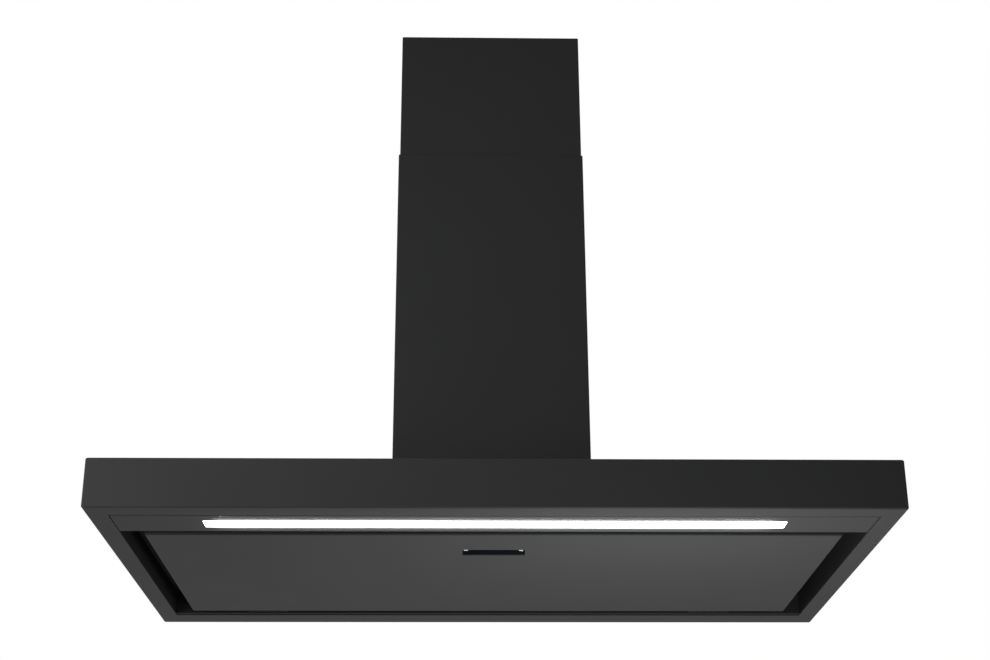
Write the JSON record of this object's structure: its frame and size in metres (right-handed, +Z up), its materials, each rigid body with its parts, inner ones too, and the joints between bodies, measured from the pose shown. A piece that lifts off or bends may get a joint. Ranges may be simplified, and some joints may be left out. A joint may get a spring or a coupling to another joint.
{
  "type": "chimney range hood",
  "caption": "Wall-mounted chimney cooker hood: slim box canopy with a perimeter suction panel and light bar, telescopic chimney over a centrifugal blower and duct spigot.",
  "frame": {"origin": "middle of the canopy's rear bottom edge, where the back meets the wall", "axes": "+X to the right seen from the room, +Y into the wall, +Z up"},
  "size_m": [0.9, 0.55, 0.781],
  "materials": {
    "black_coat": "fine-texture matt powder coat",
    "zinc_steel": "zinc plated",
    "black_screw": "black oxide",
    "bright_steel": "ground",
    "galvanised": "galvanised sheet",
    "aluminium_profile": "natural anodised",
    "opal": "opal, lit",
    "white_board": "solder mask",
    "led_yellow": "phosphor",
    "white_plastic": "moulded",
    "grey_plastic": "moulded",
    "green_board": "solder mask",
    "dark_steel": "laminations",
    "relay_black": "moulded",
    "filter_aluminium": "mill finish",
    "black_plastic": "moulded",
    "gloss_cup": "gloss moulded",
    "magnet": "ferrite",
    "foam": "closed-cell foam",
    "wheel_plastic": "moulded",
    "motor_grey": "die cast"
  },
  "bodies": {
    "hood": {"blower_box": "galvanised", "blower_box_screws": "zinc_steel", "box_gasket": "foam", "cable_gland": "black_plastic", "canopy_shell": "black_coat", "catch_brackets": "black_plastic", "catch_magnets": "magnet", "collar_screws": "zinc_steel", "control_board": "green_board", "control_box": "grey_plastic", "control_lid": "grey_plastic", "cover_foot_screws": "black_screw", "deck_screws": "zinc_steel", "filter_left_frame": "filter_aluminium", "filter_left_handle": "black_plastic", "filter_left_mesh": "filter_aluminium", "filter_right_frame": "filter_aluminium", "filter_right_handle": "black_plastic", "filter_right_mesh": "filter_aluminium", "filter_seats": "black_coat", "flap_pin": "bright_steel", "gland_nut": "zinc_steel", "hinge_brackets": "black_screw", "hinge_pins": "black_screw", "hinge_rail": "black_coat", "inlet_rings": "black_plastic", "inner_liner": "black_coat", "led_board": "white_board", "led_chips": "led_yellow", "led_diffuser": "opal", "led_driver": "white_plastic", "led_profile": "aluminium_profile", "light_rail": "black_coat", "lower_cover": "black_coat", "motor_bracket": "zinc_steel", "motor_casing": "motor_grey", "motor_screws": "zinc_steel", "outlet_collar": "black_plastic", "outlet_transition": "black_plastic", "relays": "relay_black", "run_capacitor": "aluminium_profile", "scroll_left_half": "black_plastic", "scroll_right_half": "black_plastic", "terminal_block": "white_board", "transformer": "dark_steel"},
    "panel": {"perimeter_panel": "black_coat", "panel_pull_cup": "gloss_cup", "panel_pull_clips": "bright_steel", "hinge_leaves": "black_screw"},
    "chimney_top": {"upper_cover": "black_coat", "upper_wall_bracket": "zinc_steel", "upper_cover_screws": "black_screw"},
    "wheel": {"impeller": "wheel_plastic", "motor_shaft": "bright_steel"},
    "flap_front": {"front_flap": "grey_plastic"},
    "flap_rear": {"rear_flap": "grey_plastic"},
    "latch_left": {"left_filter_latch": "grey_plastic"},
    "latch_right": {"right_filter_latch": "grey_plastic"}
  },
  "joints": [
    {"name": "panel_hinge", "type": "hinge", "parent": "hood", "child": "panel", "pos_m": [0, -0.062, 0.006], "axis": [1, 0, 0], "range_deg": [0, 88]},
    {"name": "chimney_slide", "type": "slide", "parent": "hood", "child": "chimney_top", "axis": [0, 0, 1], "range_m": [-0.14, 0.24]},
    {"name": "fan_spin", "type": "hinge", "parent": "hood", "child": "wheel", "pos_m": [0, -0.1481, 0.1801], "axis": [1, 0, 0], "continuous": true},
    {"name": "front_flap_hinge", "type": "hinge", "parent": "hood", "child": "flap_front", "pos_m": [0, -0.1045, 0.379], "axis": [-1, 0, 0], "range_deg": [0, 78]},
    {"name": "rear_flap_hinge", "type": "hinge", "parent": "hood", "child": "flap_rear", "pos_m": [0, -0.1045, 0.379], "axis": [1, 0, 0], "range_deg": [0, 78]},
    {"name": "left_latch_slide", "type": "slide", "parent": "hood", "child": "latch_left", "axis": [0, 1, 0], "range_m": [0, 0.0065], "stiffness_N_per_m": 300, "springref_m": -0.008},
    {"name": "right_latch_slide", "type": "slide", "parent": "hood", "child": "latch_right", "axis": [0, 1, 0], "range_m": [0, 0.0065], "stiffness_N_per_m": 300, "springref_m": -0.008}
  ]
}
